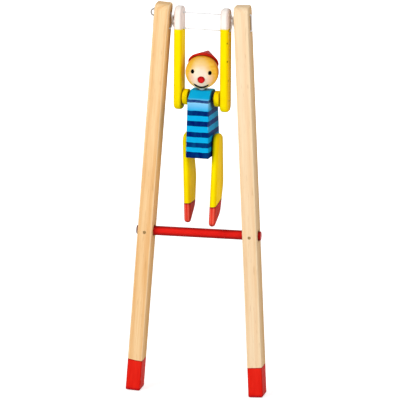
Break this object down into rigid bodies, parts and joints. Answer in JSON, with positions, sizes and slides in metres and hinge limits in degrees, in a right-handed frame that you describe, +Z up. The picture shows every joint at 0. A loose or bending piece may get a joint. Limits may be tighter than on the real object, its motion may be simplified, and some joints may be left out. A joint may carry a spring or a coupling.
{
  "type": "wooden acrobat toy",
  "caption": "Wooden trapeze toy: a jointed clown hangs on a crossed string loop between the tops of uprights that pivot on a crossbar; squeezing their lower ends makes it swing and flip.",
  "frame": {"origin": "on the floor, midway between the outer lower corners of the two feet and midway through their depth", "axes": "+Z up along the toy's height, +X to the viewer's right, -Y the front that the figure faces"},
  "size_m": [0.095, 0.0311, 0.2688],
  "materials": {
    "bare_wood": "clear lacquered pale wood; the uprights' lower ends are dipped in red paint",
    "red_paint": "gloss paint on wood",
    "yellow_paint": "gloss paint on wood; the hands are painted pale and the shoes red",
    "blue_paint": "gloss paint on wood with dark blue bands",
    "face_paint": "gloss lacquer on wood with a painted face",
    "steel": "plain nail and rod steel",
    "string": "white twisted cord"
  },
  "bodies": {
    "crossbar": {"crossbar": "red_paint", "left_pivot_pin": "steel", "right_pivot_pin": "steel", "left_string_rising": "string", "left_string_falling": "string", "right_string_rising": "string", "right_string_falling": "string"},
    "left_upright": {"left_upright": "bare_wood", "left_string_loop": "string"},
    "right_upright": {"right_upright": "bare_wood", "right_string_loop": "string"},
    "arms": {"left_arm": "yellow_paint", "right_arm": "yellow_paint", "left_shoulder_spacer": "yellow_paint", "right_shoulder_spacer": "yellow_paint", "shoulder_pin": "steel", "upper_string_span": "string", "lower_string_span": "string"},
    "torso": {"torso": "blue_paint", "neck_peg": "bare_wood", "head": "face_paint", "cap": "red_paint", "nose": "red_paint", "hip_pin": "steel"},
    "left_leg": {"left_leg": "yellow_paint"},
    "right_leg": {"right_leg": "yellow_paint"}
  },
  "joints": [
    {"name": "left_upright_pivot", "type": "hinge", "parent": "crossbar", "child": "left_upright", "pos_m": [-0.03481, 0, 0.11105], "axis": [0, 1, 0], "range_deg": [-2.5, 0.8], "deforming": ["left_string_rising", "left_string_falling"]},
    {"name": "right_upright_pivot", "type": "hinge", "parent": "crossbar", "child": "right_upright", "pos_m": [0.03732, 0, 0.11105], "axis": [0, 1, 0], "range_deg": [-0.8, 2.5], "deforming": ["right_string_rising", "right_string_falling"]},
    {"name": "trapeze_spin", "type": "hinge", "parent": "crossbar", "child": "arms", "pos_m": [0.00291, 0, 0.25673], "axis": [0.9962, -0.0872, 0], "continuous": true, "deforming": ["left_string_rising", "left_string_falling", "right_string_rising", "right_string_falling"]},
    {"name": "shoulder_swing", "type": "hinge", "parent": "arms", "child": "torso", "pos_m": [0.00316, -0.00002, 0.20444], "axis": [0.9962, -0.0872, 0], "range_deg": [-110, 110]},
    {"name": "left_hip_swing", "type": "hinge", "parent": "torso", "child": "left_leg", "pos_m": [-0.00715, 0.00208, 0.17258], "axis": [0.9962, -0.0872, 0], "range_deg": [-140, 130]},
    {"name": "right_hip_swing", "type": "hinge", "parent": "torso", "child": "right_leg", "pos_m": [0.01367, 0.00026, 0.17258], "axis": [0.9962, -0.0872, 0], "range_deg": [-130, 140]}
  ],
  "couplings": [
    {"joint": "right_upright_pivot", "follows": "left_upright_pivot", "ratio": -1}
  ]
}
